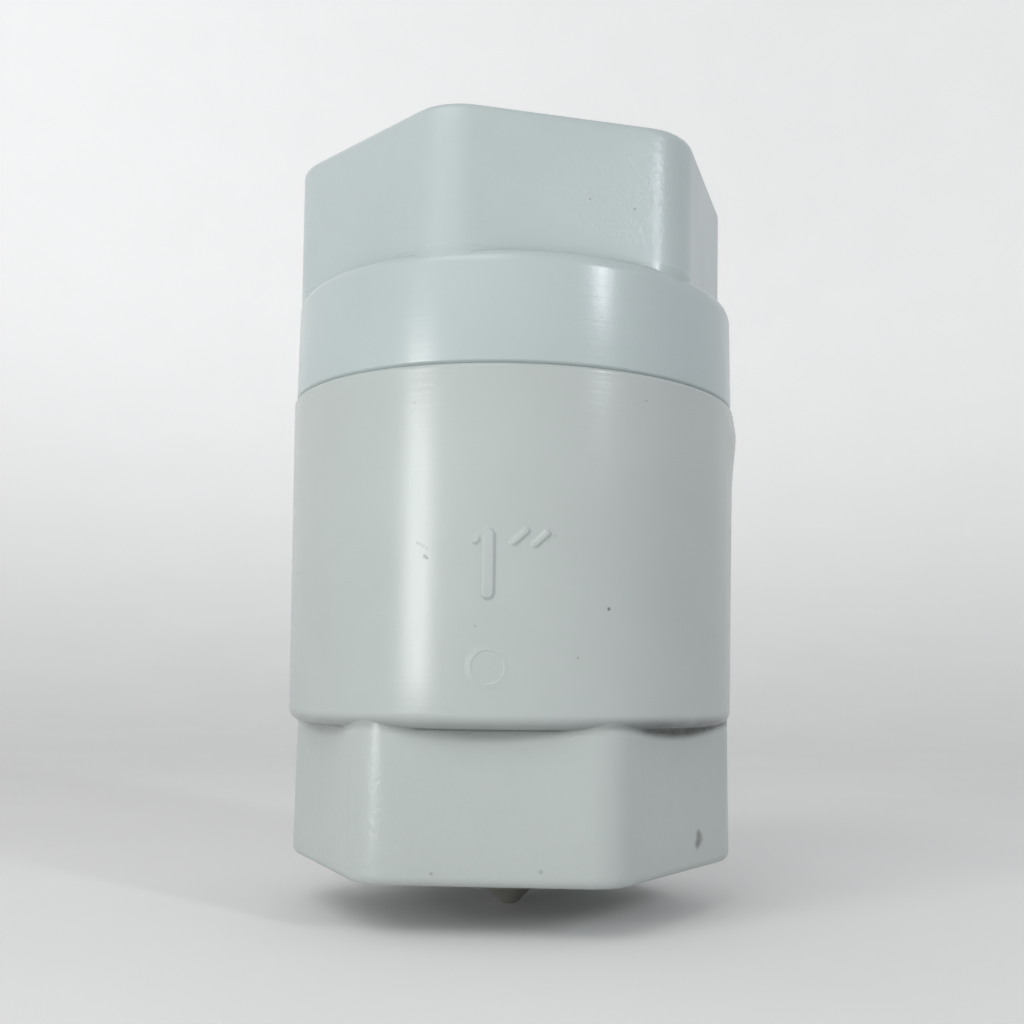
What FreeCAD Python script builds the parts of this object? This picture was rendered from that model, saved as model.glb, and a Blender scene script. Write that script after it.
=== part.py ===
import FreeCAD, Part
import os
import re

import Sketcher

# Spring check valve with two one-inch parallel female threads, moulded in PVC.
# The axis of the valve is Z. The origin is on that axis at the outlet's end face, and the water
# comes in at the top, through the cap, and leaves at the bottom. One flat of the body's hexagon
# faces -Y. Everything is in millimetres.

# Driving dimensions, with what each one measures.
SIZES = [
    ("barrel_radius", 27.4, "outside of the body's barrel"),
    ("seam_level", 55.5, "height of the joint between body and cap"),
    ("seam_gap", 0.05, "room between the body's rim and the cap's collar"),
    ("seam_bevel", 0.35, "bevel on both sides of the joint"),
    ("collar_radius", 27.15, "outside of the cap's collar at the joint"),
    ("collar_draft", 0.2, "how much narrower the collar is at its top"),
    ("collar_height", 12.6, "length of the cap's collar"),
    ("collar_rounding", 1.6, "rounding where the collar ends below the cap's hexagon"),
    ("valve_height", 84.2, "inlet end face above the outlet end face"),
    ("outlet_hex_height", 16.8, "length of the body's hexagon"),
    ("across_flats", 48.4, "spanner size of both hexagons"),
    ("hex_edge_rounding", 5.5, "rounding of the upright edges of the body's hexagon"),
    ("cap_edge_rounding", 7.0, "rounding of the upright edges of the cap's hexagon"),
    ("hex_end_rounding", 1.2, "rounding round a hexagon's end face"),
    ("shoulder_rounding", 1.7, "rounding where the barrel ends above the body's hexagon"),
    ("cap_turn_at_rest", 18, "degrees from the body's hexagon to the cap's when tight"),
    ("thread_minor_radius", 15.146, "crest radius of the one-inch female thread"),
    ("thread_depth", 16.5, "end face to pipe stop"),
    ("thread_mouth_radius", 17.0, "start of the lead-in bevel of the thread"),
    ("outlet_throat_radius", 13.8, "opening past the outlet's pipe stop"),
    ("guide_level", 18.0, "ledge that the stem guide rests on"),
    ("guide_radius", 17.5, "outside of the stem guide's rim"),
    ("guide_play", 0.1, "room round the stem guide's rim"),
    ("guide_height", 3.5, "height of the stem guide's rim and arms"),
    ("guide_rim", 2.4, "thickness of the stem guide's rim"),
    ("arm_width", 2.4, "width of one arm of the stem guide"),
    ("hub_radius", 7.7, "flange of the guide's hub, under the spring"),
    ("hub_drop", 1.6, "how far the hub reaches below the guide's rim"),
    ("pilot_radius", 5.0, "collars that centre the two ends of the spring"),
    ("bush_radius", 3.9, "outside of the guide's bush"),
    ("bush_flange_radius", 4.9, "flange of the bush, under the hub"),
    ("bush_flange_height", 0.8, "thickness of that flange"),
    ("snap_wire_radius", 0.6, "wire of the snap ring above the stem guide"),
    ("snap_gap", 28, "degrees that the snap ring is open"),
    ("snap_play", 0.1, "room round the snap ring in its groove"),
    ("chamber_radius", 19.8, "inside of the body round the poppet"),
    ("chamber_floor", 25.5, "level where the chamber reaches its full width"),
    ("spigot_radius", 20.95, "outside of the cap's spigot"),
    ("spigot_play", 0.15, "room between the spigot and the body"),
    ("spigot_bevel", 1.0, "bevel on the end of the spigot"),
    ("seal_ring_radius", 22.17, "middle of the O-ring's section"),
    ("seal_section_radius", 1.1, "radius of the O-ring's section"),
    ("seal_groove_radius", 23.4, "outside of the O-ring's recess in the body"),
    ("seal_groove_depth", 2.25, "depth of the O-ring's recess"),
    ("seat_level", 43.5, "face of the seat's lip"),
    ("seat_lip_height", 0.8, "how far the lip stands out of the spigot's end"),
    ("seat_lip_radius", 14.0, "outside of the seat's lip"),
    ("passage_radius", 12.4, "bore through the seat"),
    ("inlet_throat_radius", 13.9, "opening past the inlet's pipe stop"),
    ("poppet_radius", 15.9, "outside of the poppet's disc"),
    ("poppet_rim", 0.6, "width of the rim that holds the gasket"),
    ("poppet_rim_height", 1.2, "height of that rim"),
    ("disc_thickness", 3.0, "edge of the poppet's disc"),
    ("boss_radius", 8.2, "underside of the poppet, above the spring"),
    ("boss_length", 3.5, "the poppet's collar inside the spring"),
    ("spring_level", 36.5, "underside of the poppet that the spring pushes on"),
    ("stroke", 8.0, "travel of the poppet from shut to its stop"),
    ("stop_gap", 0.05, "room left between the two collars at full stroke"),
    ("stem_radius", 3.0, "the poppet's stem"),
    ("stem_play", 0.08, "room round the stem in the guide's hub"),
    ("stem_end", 5.7, "how far the stem reaches below the outlet end face"),
    ("stem_tip_radius", 0.95, "flat at the end of the stem"),
    ("stem_tip_height", 2.05, "length of the stem's cone"),
    ("gasket_radius", 15.2, "outside of the poppet's gasket"),
    ("gasket_hole_radius", 5.1, "hole in the poppet's gasket"),
    ("gasket_thickness", 2.0, "thickness of the gasket"),
    ("gasket_gap", 0.05, "room between the gasket and the seat's lip when shut"),
    ("retainer_radius", 10.6, "outside of the gasket retainer"),
    ("retainer_edge", 0.9, "thickness of the retainer at its edge"),
    ("retainer_height", 1.8, "thickness of the retainer at its middle"),
    ("screw_radius", 1.8, "shank of the retainer screw"),
    ("screw_head_radius", 3.6, "head of the retainer screw"),
    ("screw_head_height", 2.2, "height of the screw's head"),
    ("screw_length", 10.0, "length of the screw under its head"),
    ("recess_width", 1.0, "width of one arm of the screw's cross recess"),
    ("recess_length", 4.2, "length of one arm of the recess"),
    ("recess_depth", 1.2, "depth of the recess"),
    ("washer_radius", 7.4, "outside of the spring washer"),
    ("washer_hole_radius", 5.15, "hole in the spring washer"),
    ("washer_thickness", 0.5, "thickness of the spring washer"),
    ("wire_radius", 0.4, "wire of the spring"),
    ("spring_radius", 6.0, "middle of the wire from the axis"),
    ("spring_turns", 7, "turns of wire"),
    ("gasket_play", 0.05, "room between the gasket's hole and the poppet's spigot"),
    ("seal_play", 0.01, "room between the O-ring and the collar's underside"),
    ("groove_wall", 0.5, "straight wall above the snap ring's groove"),
    ("funnel_slope", 3, "length of the cap's funnel for each millimetre that it widens"),
    ("retainer_land", 0.6, "flat ring of the retainer round the screw's head"),
    ("fine_rounding", 0.25, "edges of thin rims and flanges"),
    ("small_rounding", 0.3, "edges of the guide, the gasket and the stem's end"),
    ("soft_rounding", 0.4, "ends of collars and of the stem's cone"),
    ("rim_rounding", 0.6, "inner edge of the stem guide's rim"),
    ("disc_rounding", 1.0, "underside of the poppet's edge"),
    ("head_rounding", 1.2, "top of the screw's head"),
    ("overshoot", 1.0, "how far a cut or an arm reaches past the surface it meets"),
    ("spring_clearance", 0.05, "room at each end of the spring"),
]

DOC = FreeCAD.newDocument("check_valve")
SHEET = DOC.addObject("Spreadsheet::Sheet", "sizes")
ALIASES = {alias for alias, size, note in SIZES}


def fill_sheet():
    """Write each driving dimension into a row of the sheet: name, number, note."""
    for row, (alias, size, note) in enumerate(SIZES, start=1):
        SHEET.set(f"A{row}", alias)
        SHEET.set(f"B{row}", str(size))
        SHEET.set(f"C{row}", note)
        SHEET.setAlias(f"B{row}", alias)
    DOC.recompute()


def size_of(formula):
    """The present value of a formula in the sheet's names."""
    return float(SHEET.evalExpression(formula))


def bind(thing, path, formula):
    """Tie one property to a formula in the sheet's names."""
    linked = re.sub(r"[a-z_]+", lambda m: f"sizes.{m[0]}" if m[0] in ALIASES else m[0], formula)
    thing.setExpression(path, linked)


def new_body(label):
    """An empty PartDesign body whose label names its file."""
    body = DOC.addObject("PartDesign::Body", label)
    body.Label = label
    return body


def origin_feature(body, role):
    """One of the body's own origin planes or axes."""
    return next(f for f in body.Origin.OriginFeatures if f.Role == role)


def outline(body, name, corners, role="XZ_Plane"):
    """A closed sketch through corners, each (across, up) or (across, up, rounding)."""
    sketch = body.newObject("Sketcher::SketchObject", name)
    sketch.AttachmentSupport = [(origin_feature(body, role), "")]
    sketch.MapMode = "FlatFace"
    count = len(corners)
    places = [FreeCAD.Vector(size_of(c[0]), size_of(c[1]), 0) for c in corners]
    for i, place in enumerate(places):
        sketch.addGeometry(Part.LineSegment(place, places[(i + 1) % count]), False)
    for i in range(count):
        sketch.addConstraint(Sketcher.Constraint("Coincident", i, 2, (i + 1) % count, 1))
    bound = {}
    for i, corner in enumerate(corners):
        for kind, formula in zip("XY", corner):
            rule = Sketcher.Constraint(f"Distance{kind}", -1, 1, i, 1, size_of(formula))
            sketch.renameConstraint(sketch.addConstraint(rule), f"{kind}{i}")
            bound[f"{kind}{i}"] = formula
    for i, corner in enumerate(corners):
        if len(corner) > 2:
            sketch.fillet((i - 1) % count, 2, size_of(corner[2]), True, True)
            arcs = [k for k, g in enumerate(sketch.Geometry) if isinstance(g, Part.ArcOfCircle)]
            rule = Sketcher.Constraint("Radius", arcs[-1], size_of(corner[2]))
            sketch.renameConstraint(sketch.addConstraint(rule), f"R{i}")
            bound[f"R{i}"] = corner[2]
    for constraint, formula in bound.items():
        bind(sketch, f"Constraints.{constraint}", formula)
    return sketch


def turned(body, name, corners):
    """Solid of revolution about Z."""
    feature = body.newObject("PartDesign::Revolution", name)
    feature.Profile = outline(body, f"{name}_outline", corners)
    feature.ReferenceAxis = (feature.Profile[0], ["V_Axis"])
    feature.Angle = 360
    return feature


def bored(body, name, corners):
    """Cut of revolution about Z."""
    feature = body.newObject("PartDesign::Groove", name)
    feature.Profile = outline(body, f"{name}_outline", corners)
    feature.ReferenceAxis = (feature.Profile[0], ["V_Axis"])
    feature.Angle = 360
    return feature


def rounded_edges(body, name, base, radius, wanted):
    """Round the edges of base for which wanted(edge) is true."""
    DOC.recompute()
    chosen = [f"Edge{i}" for i, e in enumerate(base.Shape.Edges, start=1) if wanted(e)]
    feature = body.newObject("PartDesign::Fillet", name)
    feature.Base = (base, chosen)
    bind(feature, "Radius", radius)
    return feature


def upright(edge):
    """True for a straight edge along Z."""
    return edge.BoundBox.ZLength > 1 and edge.BoundBox.XLength < 0.01 > edge.BoundBox.YLength


def level_at(height):
    """A test for the edges that lie flat at a height."""
    return lambda edge: edge.BoundBox.ZLength < 0.01 and abs(edge.BoundBox.ZMin - height) < 0.01


def hexagon(body, height, end_level, edge_rounding, foot="0", turn="0"):
    """Hexagonal end with rounded edges, standing on foot, its end face at end_level."""
    prism = body.newObject("PartDesign::AdditivePrism", "hexagon")
    prism.Polygon = 6
    bind(prism, "Circumradius", "across_flats / 2 / cos(30)")
    bind(prism, "Height", height)
    bind(prism, "Placement.Base.z", foot)
    bind(prism, "Placement.Rotation.Angle", turn)
    edges = rounded_edges(body, "hexagon_edges", prism, edge_rounding, upright)
    return rounded_edges(
        body, "hexagon_end", edges, "hex_end_rounding", level_at(size_of(end_level))
    )


def make_body():
    """Lower moulding: barrel, hexagon, outlet thread, chamber and the mouth for the cap."""
    body = new_body("body")
    hexagon(body, "outlet_hex_height + 2 * shoulder_rounding", "0", "hex_edge_rounding")
    rim = "seam_level - seam_gap"
    turned(
        body,
        "barrel",
        [
            ("0", "outlet_hex_height"),
            ("barrel_radius", "outlet_hex_height", "shoulder_rounding"),
            ("barrel_radius", f"{rim} - seam_bevel"),
            ("barrel_radius - seam_bevel", rim),
            ("0", rim),
        ],
    )
    mouth = "thread_mouth_radius - thread_minor_radius"
    guide_bore = "guide_radius + guide_play"
    groove = f"{guide_bore} + snap_wire_radius + snap_play"
    groove_foot = "guide_level + guide_height"
    groove_top = f"{groove_foot} + 2 * snap_wire_radius + snap_play"
    spigot_bore = "spigot_radius + spigot_play"
    thread_foot = "seat_level - spigot_bevel"
    return bored(
        body,
        "inside",
        [
            ("0", "-overshoot"),
            ("thread_mouth_radius + overshoot", "-overshoot"),
            ("thread_minor_radius", mouth),
            ("thread_minor_radius", "thread_depth"),
            ("outlet_throat_radius", "thread_depth"),
            ("outlet_throat_radius", "guide_level"),
            (guide_bore, "guide_level"),
            (guide_bore, groove_foot),
            (groove, groove_foot),
            (groove, groove_top),
            (guide_bore, groove_top),
            (guide_bore, f"{groove_top} + groove_wall"),
            ("chamber_radius", "chamber_floor"),
            ("chamber_radius", thread_foot),
            (spigot_bore, f"{thread_foot} + {spigot_bore} - chamber_radius"),
            (spigot_bore, f"{rim} - seal_groove_depth"),
            ("seal_groove_radius", f"{rim} - seal_groove_depth"),
            ("seal_groove_radius", f"{rim} + overshoot"),
            ("0", f"{rim} + overshoot"),
        ],
    )


def make_cap():
    """Upper moulding: hexagon, collar, threaded spigot, inlet thread, passage and seat."""
    body = new_body("cap")
    collar_top = "(seam_level + collar_height)"
    hexagon(
        body,
        f"valve_height - {collar_top} + 2 * collar_rounding",
        "valve_height",
        "cap_edge_rounding",
        f"{collar_top} - 2 * collar_rounding",
        "cap_turn_at_rest",
    )
    spigot_end = "seat_level + seat_lip_height"
    turned(
        body,
        "collar",
        [
            ("0", "seat_level"),
            ("seat_lip_radius", "seat_level", "seat_lip_height / 2"),
            ("seat_lip_radius", spigot_end),
            ("spigot_radius - spigot_bevel", spigot_end),
            ("spigot_radius", f"{spigot_end} + spigot_bevel"),
            ("spigot_radius", "seam_level"),
            ("collar_radius - seam_bevel", "seam_level"),
            ("collar_radius", "seam_level + seam_bevel"),
            ("collar_radius - collar_draft", collar_top, "collar_rounding"),
            ("0", collar_top),
        ],
    )
    stop = "valve_height - thread_depth"
    mouth = "thread_mouth_radius - thread_minor_radius"
    funnel = "inlet_throat_radius - passage_radius"
    return bored(
        body,
        "inside",
        [
            ("0", "seat_level - overshoot"),
            ("passage_radius", "seat_level - overshoot"),
            ("passage_radius", "seam_level"),
            ("inlet_throat_radius", f"seam_level + funnel_slope * ({funnel})"),
            ("inlet_throat_radius", stop),
            ("thread_minor_radius", stop),
            ("thread_minor_radius", f"valve_height - ({mouth})"),
            ("thread_mouth_radius + overshoot", "valve_height + overshoot"),
            ("0", "valve_height + overshoot"),
        ],
    )


def make_body_seal():
    """O-ring between the cap's collar and the body's recess."""
    ring = DOC.addObject("Part::Torus", "body_seal")
    ring.Label = "body_seal"
    bind(ring, "Radius1", "seal_ring_radius")
    bind(ring, "Radius2", "seal_section_radius")
    bind(ring, "Placement.Base.z", "seam_level - seam_gap - seal_section_radius - seal_play")
    return ring


PILOT_TOP = "spring_level - boss_length - stroke - stop_gap"


def make_stem_guide():
    """Spider: a rim, four arms, and a hub with a flange and a collar for the spring."""
    body = new_body("stem_guide")
    top = "guide_level + guide_height"
    pilot_top = PILOT_TOP
    turned(
        body,
        "hub",
        [
            ("bush_radius", "guide_level - hub_drop"),
            ("pilot_radius", "guide_level - hub_drop"),
            ("hub_radius", "guide_level"),
            ("hub_radius", top),
            ("pilot_radius", top),
            ("pilot_radius", pilot_top, "soft_rounding"),
            ("bush_radius", pilot_top),
        ],
    )
    turned(
        body,
        "rim",
        [
            ("guide_radius - guide_rim", "guide_level"),
            ("guide_radius", "guide_level"),
            ("guide_radius", top, "small_rounding"),
            ("guide_radius - guide_rim", top, "rim_rounding"),
        ],
    )
    return body


def make_arms(body):
    """Four arms between the hub and the rim."""
    arm = body.newObject("PartDesign::AdditiveBox", "arm")
    bind(arm, "Length", "guide_radius - guide_rim - hub_radius + 2 * overshoot")
    bind(arm, "Width", "arm_width")
    bind(arm, "Height", "guide_height")
    bind(arm, "Placement.Base.x", "hub_radius - overshoot")
    bind(arm, "Placement.Base.y", "-arm_width / 2")
    bind(arm, "Placement.Base.z", "guide_level")
    DOC.recompute()
    arms = body.newObject("PartDesign::PolarPattern", "arms")
    arms.Originals = [arm]
    arms.Axis = (origin_feature(body, "Z_Axis"), [""])
    arms.Angle = 360
    arms.Occurrences = 4
    body.Tip = arms
    return arms


def make_guide_bush():
    """Flanged bush in the hub, which the stem slides in."""
    bore = "stem_radius + stem_play"
    hub_foot = "guide_level - hub_drop"
    turned(
        new_body("guide_bush"),
        "sleeve",
        [
            (bore, f"{hub_foot} - bush_flange_height"),
            ("bush_flange_radius", f"{hub_foot} - bush_flange_height", "fine_rounding"),
            ("bush_flange_radius", hub_foot),
            ("bush_radius", hub_foot),
            ("bush_radius", PILOT_TOP),
            (bore, PILOT_TOP),
        ],
    )


def round_section(body, name, across, up, radius):
    """Sketch of a round wire's section, its middle at (across, up)."""
    sketch = body.newObject("Sketcher::SketchObject", name)
    sketch.AttachmentSupport = [(origin_feature(body, "XZ_Plane"), "")]
    sketch.MapMode = "FlatFace"
    middle = FreeCAD.Vector(size_of(across), size_of(up), 0)
    sketch.addGeometry(Part.Circle(middle, FreeCAD.Vector(0, 0, 1), size_of(radius)), False)
    rules = (
        ("across", Sketcher.Constraint("DistanceX", -1, 1, 0, 3, middle.x), across),
        ("up", Sketcher.Constraint("DistanceY", -1, 1, 0, 3, middle.y), up),
        ("radius", Sketcher.Constraint("Radius", 0, size_of(radius)), radius),
    )
    for label, rule, formula in rules:
        sketch.renameConstraint(sketch.addConstraint(rule), label)
        bind(sketch, f"Constraints.{label}", formula)
    return sketch


def make_guide_ring():
    """Round-wire snap ring that keeps the stem guide on its ledge."""
    body = new_body("guide_ring")
    ring = body.newObject("PartDesign::Revolution", "wire")
    ring.Profile = round_section(
        body,
        "wire_section",
        "guide_radius + guide_play",
        "guide_level + guide_height + snap_wire_radius",
        "snap_wire_radius",
    )
    ring.ReferenceAxis = (ring.Profile[0], ["V_Axis"])
    bind(ring, "Angle", "360 - snap_gap")


def make_poppet():
    """Disc, spring boss and stem in one moulding, with a pilot hole for the screw."""
    body = new_body("poppet")
    gasket_top = "(seat_level - gasket_gap)"
    seat = f"({gasket_top} - gasket_thickness)"
    disc_foot = f"({seat} - disc_thickness)"
    boss_end = "(spring_level - boss_length)"
    turned(
        body,
        "disc_and_stem",
        [
            ("0", "-stem_end"),
            ("stem_tip_radius", "-stem_end", "small_rounding"),
            ("stem_radius", "stem_tip_height - stem_end", "soft_rounding"),
            ("stem_radius", boss_end),
            ("pilot_radius", boss_end, "soft_rounding"),
            ("pilot_radius", "spring_level"),
            ("boss_radius", "spring_level", "soft_rounding"),
            ("poppet_radius", disc_foot, "disc_rounding"),
            ("poppet_radius", f"{seat} + poppet_rim_height", "fine_rounding"),
            ("poppet_radius - poppet_rim", f"{seat} + poppet_rim_height", "fine_rounding"),
            ("poppet_radius - poppet_rim", seat),
            ("gasket_hole_radius - gasket_play", seat),
            ("gasket_hole_radius - gasket_play", gasket_top),
            ("0", gasket_top),
        ],
    )
    hole_foot = f"{gasket_top} + retainer_height - screw_length"
    bored(
        body,
        "screw_hole",
        [
            ("0", hole_foot),
            ("screw_radius", hole_foot),
            ("screw_radius", f"{gasket_top} + overshoot"),
            ("0", f"{gasket_top} + overshoot"),
        ],
    )


def make_poppet_gasket():
    """Flat rubber ring on the poppet's disc."""
    foot = "seat_level - gasket_gap - gasket_thickness"
    turned(
        new_body("poppet_gasket"),
        "ring",
        [
            ("gasket_hole_radius", foot),
            ("gasket_radius", foot),
            ("gasket_radius", "seat_level - gasket_gap", "small_rounding"),
            ("gasket_hole_radius", "seat_level - gasket_gap"),
        ],
    )


def make_gasket_retainer():
    """Dished washer that clamps the gasket."""
    foot = "seat_level - gasket_gap"
    turned(
        new_body("gasket_retainer"),
        "washer",
        [
            ("screw_radius", foot),
            ("retainer_radius", foot),
            ("retainer_radius", f"{foot} + retainer_edge", "soft_rounding"),
            ("screw_head_radius + retainer_land", f"{foot} + retainer_height"),
            ("screw_radius", f"{foot} + retainer_height"),
        ],
    )


def make_retainer_screw():
    """Pan-head screw with a cross recess."""
    body = new_body("retainer_screw")
    head_foot = "(seat_level - gasket_gap + retainer_height)"
    head_top = f"({head_foot} + screw_head_height)"
    turned(
        body,
        "head_and_shank",
        [
            ("0", f"{head_foot} - screw_length"),
            ("screw_radius", f"{head_foot} - screw_length", "soft_rounding"),
            ("screw_radius", head_foot),
            ("screw_head_radius", head_foot, "fine_rounding"),
            ("screw_head_radius", head_top, "head_rounding"),
            ("0", head_top),
        ],
    )
    for name, along, across in (("slot_x", "Length", "Width"), ("slot_y", "Width", "Length")):
        slot = body.newObject("PartDesign::SubtractiveBox", name)
        bind(slot, along, "recess_length")
        bind(slot, across, "recess_width")
        bind(slot, "Height", "recess_depth + overshoot")
        start = {along: "-recess_length / 2", across: "-recess_width / 2"}
        bind(slot, "Placement.Base.x", start["Length"])
        bind(slot, "Placement.Base.y", start["Width"])
        bind(slot, "Placement.Base.z", f"{head_top} - recess_depth")


def make_spring_washer():
    """Flat steel ring on the hub's flange."""
    foot = "guide_level + guide_height"
    turned(
        new_body("spring_washer"),
        "ring",
        [
            ("washer_hole_radius", foot),
            ("washer_radius", foot),
            ("washer_radius", f"{foot} + washer_thickness"),
            ("washer_hole_radius", f"{foot} + washer_thickness"),
        ],
    )


def make_spring():
    """Compression spring, at its length with the valve shut."""
    body = new_body("spring")
    foot = "(guide_level + guide_height + washer_thickness + spring_clearance + wire_radius)"
    section = round_section(body, "wire_section", "spring_radius", foot, "wire_radius")
    coil = body.newObject("PartDesign::AdditiveHelix", "coil")
    coil.Profile = section
    coil.ReferenceAxis = (section, ["V_Axis"])
    coil.Mode = "height-turns-angle"
    bind(coil, "Height", f"spring_level - spring_clearance - wire_radius - {foot}")
    bind(coil, "Turns", "spring_turns")


LABELS = (
    "body",
    "cap",
    "body_seal",
    "poppet",
    "poppet_gasket",
    "gasket_retainer",
    "retainer_screw",
    "spring",
    "spring_washer",
    "stem_guide",
    "guide_bush",
    "guide_ring",
)


def checked_shapes():
    """The shape of every sub-part, once the whole document is sound."""
    failed = [t.Name for t in DOC.Objects if {"Invalid", "Error"} & set(t.State)]
    if failed:
        raise RuntimeError(f"these features failed: {failed}")
    shapes = {label: DOC.getObjectsByLabel(label)[0].Shape for label in LABELS}
    for label, shape in shapes.items():
        if shape.isNull() or not shape.isValid() or len(shape.Solids) != 1:
            raise RuntimeError(f"{label} isn't one valid solid")
    return shapes


def main():
    fill_sheet()
    make_body()
    make_cap()
    make_body_seal()
    make_poppet()
    make_poppet_gasket()
    make_gasket_retainer()
    make_retainer_screw()
    make_spring()
    make_spring_washer()
    make_arms(make_stem_guide())
    make_guide_bush()
    make_guide_ring()
    DOC.recompute()
    os.makedirs("parts", exist_ok=True)
    for label, shape in checked_shapes().items():
        shape.exportStep(f"parts/{label}.step")
        print(f"{label}: {shape.Volume:.1f} mm3")


main()
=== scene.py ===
"""Spring check valve, one inch: moulded shells, threads, marks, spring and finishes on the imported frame."""

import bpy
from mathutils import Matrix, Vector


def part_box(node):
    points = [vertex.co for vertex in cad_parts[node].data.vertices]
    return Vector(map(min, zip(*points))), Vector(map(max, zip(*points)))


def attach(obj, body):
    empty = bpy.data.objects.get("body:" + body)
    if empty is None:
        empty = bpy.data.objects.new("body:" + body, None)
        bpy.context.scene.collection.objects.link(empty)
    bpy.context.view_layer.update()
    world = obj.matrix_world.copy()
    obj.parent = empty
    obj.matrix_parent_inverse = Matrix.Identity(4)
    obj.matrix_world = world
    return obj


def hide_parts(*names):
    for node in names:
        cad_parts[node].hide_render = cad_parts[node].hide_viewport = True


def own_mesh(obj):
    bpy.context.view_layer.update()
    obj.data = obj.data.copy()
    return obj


bl_info = {
    "name": "Spring Check Valve",
    "version": (1, 0, 0),
    "blender": (4, 5, 0),
    "location": "3D View > Sidebar > Check Valve",
    "description": "Builds the visible surfaces and finishes of a one-inch spring check valve",
    "category": "Object",
}

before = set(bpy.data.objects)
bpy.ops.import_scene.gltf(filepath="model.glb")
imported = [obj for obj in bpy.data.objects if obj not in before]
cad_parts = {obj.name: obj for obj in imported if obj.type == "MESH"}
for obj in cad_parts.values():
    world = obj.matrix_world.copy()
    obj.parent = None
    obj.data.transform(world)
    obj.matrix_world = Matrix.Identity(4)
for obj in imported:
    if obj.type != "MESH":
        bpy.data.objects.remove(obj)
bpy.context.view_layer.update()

import math

import bpy
import numpy as np
from bpy.props import FloatProperty, FloatVectorProperty, PointerProperty
from mathutils import Matrix, Vector

MM = 0.001
SIXTH = math.pi / 3
SEAM_LEVEL = 55.5
PIPE_CREST, PIPE_START, PIPE_END = 15.146, 1.9, 16.2
MOUTH_CREST, SPIGOT_CREST = 21.1, 20.95
BODY = "lower_body"
CAP = "screw_cap"
NODE_FINISHES = {
    "body_seal": "black_rubber",
    "poppet": "grey_plastic",
    "poppet_gasket": "black_rubber",
    "gasket_retainer": "stainless_steel",
    "retainer_screw": "stainless_steel",
    "spring_washer": "stainless_steel",
    "stem_guide": "guide_plastic",
    "guide_bush": "bush_plastic",
    "guide_ring": "spring_steel",
}


# specks of dirt: x, y, z and width in millimetres, and strength; the run of four is a scratch and the
# last three a chip
BODY_SPECKS = [
    (12.70, -24.19, 29.69, 0.42, 0.75),
    (9.53, -25.61, 24.44, 0.24, 0.5),
    (-1.16, -27.30, 27.63, 0.24, 0.4),
    (16.45, -21.82, 52.55, 0.26, 0.5),
    (-8.11, -26.10, 51.36, 0.24, 0.4),
    (7.01, -26.41, 37.19, 0.26, 0.3),
    (-6.67, -26.50, 34.95, 0.5, 0.5),
    (-6.45, -26.56, 34.75, 0.3, 0.6),
    (-7.55, -26.28, 36.40, 0.42, 0.25),
    (-7.20, -26.38, 36.25, 0.42, 0.25),
    (-6.85, -26.47, 36.02, 0.42, 0.22),
    (-6.50, -26.56, 35.80, 0.40, 0.18),
    (5.82, -24.20, 1.90, 0.5, 0.35),
    (22.95, -8.75, 3.1, 1.3, 0.6),
    (23.2, -8.1, 3.6, 1.5, 0.45),
    (23.05, -8.5, 4.2, 1.2, 0.5),
]
CAP_SPECKS = [
    (15.05, -20.55, 74.35, 0.3, 0.5),
    (10.12, -22.16, 74.88, 0.26, 0.45),
]


def size_in(node, corner, axis):
    """One coordinate of a node's box in millimetres: corner 0 is the lowest, 1 the highest."""
    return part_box(node)[corner][axis] / MM


# ---------------------------------------------------------------- what a user would change


class ShellSizes(bpy.types.PropertyGroup):
    """Sizes of the two mouldings, in millimetres."""

    barrel_radius: FloatProperty(
        name="Barrel radius", description="Outside of the barrel", default=size_in("body", 1, 0)
    )
    collar_radius: FloatProperty(
        name="Collar radius", description="Outside of the cap", default=size_in("cap", 1, 0)
    )
    draft: FloatProperty(
        name="Draft", description="How much the barrel narrows towards its foot", default=0.14
    )
    across_flats: FloatProperty(
        name="Across flats", description="Spanner size of both ends", default=48.4
    )
    edge_rounding: FloatProperty(
        name="Edge rounding", description="Upright edges of the outlet hexagon", default=5.5
    )
    cap_edge_rounding: FloatProperty(
        name="Cap edge rounding", description="Upright edges of the inlet hexagon", default=7.0
    )
    end_rounding: FloatProperty(
        name="End rounding", description="Rim of a hexagon's end face", default=1.2
    )
    flat_draft: FloatProperty(
        name="Flat draft", description="How far the outlet's flats lean in on their way up", default=0.24
    )
    hexagon_level: FloatProperty(
        name="Outlet hexagon", description="Height at which the barrel's foot begins", default=16.8
    )
    shelf_level: FloatProperty(
        name="Inlet hexagon", description="Height at which the collar ends", default=68.1
    )
    shoulder_rounding: FloatProperty(
        name="Shoulder rounding", description="Foot of the barrel", default=1.7
    )
    collar_rounding: FloatProperty(
        name="Collar rounding", description="Top of the collar", default=1.6
    )
    crease_rounding: FloatProperty(
        name="Crease rounding", description="Where a flat meets the shoulder", default=0.25
    )
    cap_turn: FloatProperty(
        name="Cap turn",
        description="From the outlet hexagon to the inlet hexagon",
        default=math.radians(18),
        subtype="ANGLE",
        unit="ROTATION",
    )
    vestige_height: FloatProperty(
        name="Gate vestige", description="Height of the trimmed gate's bump", default=0.45
    )


class ThreadSizes(bpy.types.PropertyGroup):
    """Sizes of the threads, in millimetres."""

    pipe_pitch: FloatProperty(
        name="Pipe pitch", description="Crest to crest, eleven to the inch", default=25.4 / 11
    )
    pipe_depth: FloatProperty(name="Pipe depth", description="Crest to root", default=1.479)
    cap_pitch: FloatProperty(
        name="Cap pitch", description="Crest to crest of the cap's thread", default=2.5
    )
    cap_depth: FloatProperty(
        name="Cap depth", description="Crest to root of the cap's thread", default=0.85
    )


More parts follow.
